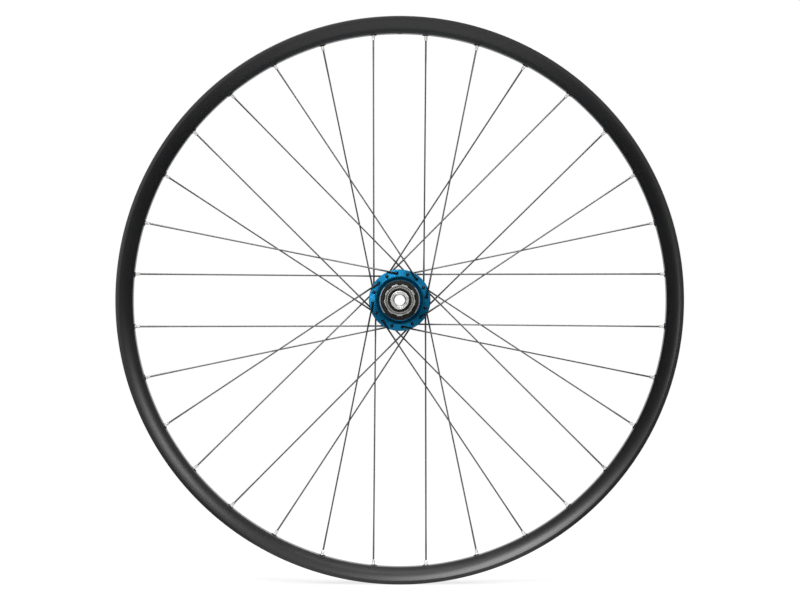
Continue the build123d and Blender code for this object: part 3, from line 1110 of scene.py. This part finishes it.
def pawl_pocket(number):
    """Room for a pawl: a round socket for its heel that opens into a slot towards the teeth"""
    socket_start = pi - asin(sqrt(1 - (pocket_back / pawl_socket_radius) ** 2))
    socket_turn = 1.5 * pi - socket_start
    corners = [(pocket_back, pocket_mouth)]
    for step in range(pawl_socket_steps + 1):
        angle = socket_start + socket_turn * step / pawl_socket_steps
        corners.append((pawl_socket_radius * cos(angle), pawl_socket_radius * sin(angle)))
    corners += [(0, pocket_floor), (pocket_front, pocket_floor), (pocket_front, pocket_mouth)]
    raised = [(x, z + pawl_pivot_radius) for x, z in corners]
    start = pawl_middle - pawl_pocket_half
    end = pawl_middle + pawl_pocket_half
    return prism(raised, start, end, 2 * pi * number / pawl_count)


def add_freehub():
    cuts = [spline_groove(number) for number in range(spline_count)]
    cuts += [pawl_pocket(number) for number in range(pawl_count)]
    shape = carved(turned(freehub_profile(), hub_segments), cuts)
    mesh = smooth(as_mesh(shape, "freehub_barrel"))
    add_piece("freehub_barrel", mesh, freehub_material(), "freehub", ["freehub_body"])


def add_seal():
    """A ring of rubber with a groove with leaning sides in its face"""
    groove_end = seal_groove_radius + seal_groove_width
    groove_floor = seal_face + seal_groove_depth
    profile = outline(
        (seal_inner_radius, seal_face, seal_inner_round),
        (seal_groove_radius, seal_face, seal_groove_round),
        (seal_groove_radius + seal_groove_depth, groove_floor, seal_groove_floor_round),
        (groove_end - seal_groove_depth, groove_floor, seal_groove_floor_round),
        (groove_end, seal_face, seal_groove_round),
        (seal_radius, seal_face, seal_face_round),
        (seal_radius, carrier_end, seal_back_round),
        (seal_inner_radius, carrier_end, 0),
    )
    mesh = smooth(as_mesh(turned(profile, hub_segments), "seal_ring"))
    add_piece("seal_ring", mesh, seal_material(), "freehub", ["freehub_seal"])


def end_cap_corners(start, end, body):
    """An end cap from its bearing to the frame's face, with the corners of its body between them"""
    outwards = 1 if end > start else -1
    spigot_end = start - outwards * end_cap_spigot
    return [
        (through_axle_radius, spigot_end, 0),
        (through_axle_radius, end - outwards * end_cap_chamfer, bore_mouth_round),
        (through_axle_radius + end_cap_chamfer, end, end_cap_chamfer_round),
        (end_cap_step_radius, end, end_cap_step_round),
        (end_cap_step_radius + end_cap_step, end - outwards * end_cap_step, end_cap_step_round),
        (end_cap_step_radius + 2 * end_cap_step, end, end_cap_step_round),
        (end_cap_radius, end, end_cap_round),
        *body,
        (end_cap_radius, start, end_cap_foot_round),
        (end_cap_spigot_radius, start, 0),
        (end_cap_spigot_radius, spigot_end, end_cap_spigot_round),
    ]


def add_end_caps():
    shield = [
        (end_cap_radius, dust_shield_end, dust_shield_round),
        (dust_shield_radius, dust_shield_end, dust_shield_round),
        (dust_shield_radius, dust_shield_start, dust_shield_round),
        (end_cap_radius, dust_shield_start, end_cap_foot_round),
    ]
    caps = {
        "drive_end_cap": end_cap_corners(lockring_bore_end, -hub_end, []),
        "disc_end_cap": end_cap_corners(disc_bearing_face, hub_end, shield),
    }
    for node, corners in caps.items():
        mesh = smooth(as_mesh(turned(outline(*corners), end_cap_segments), f"turned_{node}"))
        add_piece(f"turned_{node}", mesh, materials["bare_aluminium"], "axle", [node])


# Studio


def add_floor():
    """A wide pale floor; to the camera it is almost white, and a soft shadow stays on it"""
    half = floor_half_size
    corners = [(-half, -half), (half, -half), (half, half), (-half, half)]
    mesh = bpy.data.meshes.new("floor")
    mesh.from_pydata([(x, y, rim_low.z) for x, y in corners], [], [(0, 1, 2, 3)])
    floor = bpy.data.objects.new("floor", mesh)
    bpy.context.scene.collection.objects.link(floor)
    material = new_material("pale_floor", (0.9, 0.9, 0.9), roughness=0.8)
    tree = material.node_tree
    parts = object_parts(material)
    from_wheel = distance(material, parts["X"], parts["Y"])
    glow_share = mapped(material, from_wheel, *shadow_reach, *floor_glow)
    seen = add_node(material, "ShaderNodeLightPath").outputs["Is Camera Ray"]
    glow = add_node(material, "ShaderNodeEmission", Strength=1.0)
    mix = add_node(material, "ShaderNodeMixShader", Fac=arithmetic(material, "MULTIPLY", seen, glow_share))
    tree.links.new(shader_of(material).outputs["BSDF"], mix.inputs[1])
    tree.links.new(glow.outputs["Emission"], mix.inputs[2])
    tree.links.new(mix.outputs["Shader"], tree.nodes["Material Output"].inputs["Surface"])
    mesh.materials.append(material)


def add_world():
    """White to the camera and in reflections, and a plain ambient light on the object"""
    world = bpy.data.worlds.new("studio")
    bpy.context.scene.world = world
    world.use_nodes = True
    tree = world.node_tree
    path = tree.nodes.new("ShaderNodeLightPath")
    seen = arithmetic(world, "MAXIMUM", path.outputs["Is Camera Ray"], path.outputs["Is Glossy Ray"])
    seen = arithmetic(world, "MAXIMUM", seen, path.outputs["Is Transmission Ray"])
    strength = arithmetic(world, "MAXIMUM", seen, ambient_strength)
    background = tree.nodes["Background"]
    background.inputs["Color"].default_value = (1, 1, 1, 1)
    tree.links.new(strength, background.inputs["Strength"])


def add_softbox(name, place, size, watts):
    light = bpy.data.lights.new(name, "AREA")
    light.shape = "RECTANGLE"
    light.size, light.size_y = size
    light.energy = watts
    lamp = bpy.data.objects.new(name, light)
    lamp.location = place
    lamp.visible_camera = False
    lamp.rotation_euler = (-Vector(place)).to_track_quat("-Z", "Y").to_euler()
    bpy.context.scene.collection.objects.link(lamp)


def add_flag(name, side, top):
    """A dark cloth on the floor and up beside the wheel, which shows only in reflections.
    The sides of the rim stay dark with it."""
    bottom = rim_low.z + flag_lift
    profile = [(side * flag_near, bottom), (side * flag_far, bottom), (side * flag_far, top)]
    corners = [(across, along, up) for across, up in profile for along in (flag_front, flag_back)]
    mesh = bpy.data.meshes.new(name)
    mesh.from_pydata(corners, [], [(0, 1, 3, 2), (2, 3, 5, 4)])
    mesh.materials.append(new_material(name, (0.04, 0.04, 0.04), roughness=0.9))
    flag = bpy.data.objects.new(name, mesh)
    bpy.context.scene.collection.objects.link(flag)
    flag.visible_camera = False
    flag.visible_diffuse = False
    flag.visible_shadow = False
    flag.visible_transmission = False


def add_camera():
    """On the axle, at the distance where the rim's near edge is as large as in the photograph.
    The photograph's measures are in its pixels."""
    photo_width = 800
    rim_outline_radius = 284.5
    wheel_off_centre = (-0.3, -0.2)
    camera = bpy.data.cameras.new("camera")
    camera.lens = 100
    camera.sensor_width = 36
    away = rim_radius * photo_width * camera.lens / (rim_outline_radius * camera.sensor_width)
    camera.shift_x = -wheel_off_centre[0] / photo_width
    camera.shift_y = -wheel_off_centre[1] / photo_width
    viewer = bpy.data.objects.new("camera", camera)
    viewer.location = (0, rim_low.y - away, 0)
    viewer.rotation_euler = (pi / 2, 0, 0)
    bpy.context.scene.collection.objects.link(viewer)
    bpy.context.scene.camera = viewer


finish_cad_nodes()
add_rim()
add_spokes()
add_nipples()
add_hub()
add_freehub()
add_seal()
add_end_caps()
add_floor()
add_world()
for softbox, (place, size, watts) in softboxes.items():
    add_softbox(softbox, place, size, watts)
add_flag("left_flag", -1, left_flag_top)
add_flag("right_flag", 1, right_flag_top)
add_camera()
bpy.context.scene.view_settings.view_transform = "Standard"
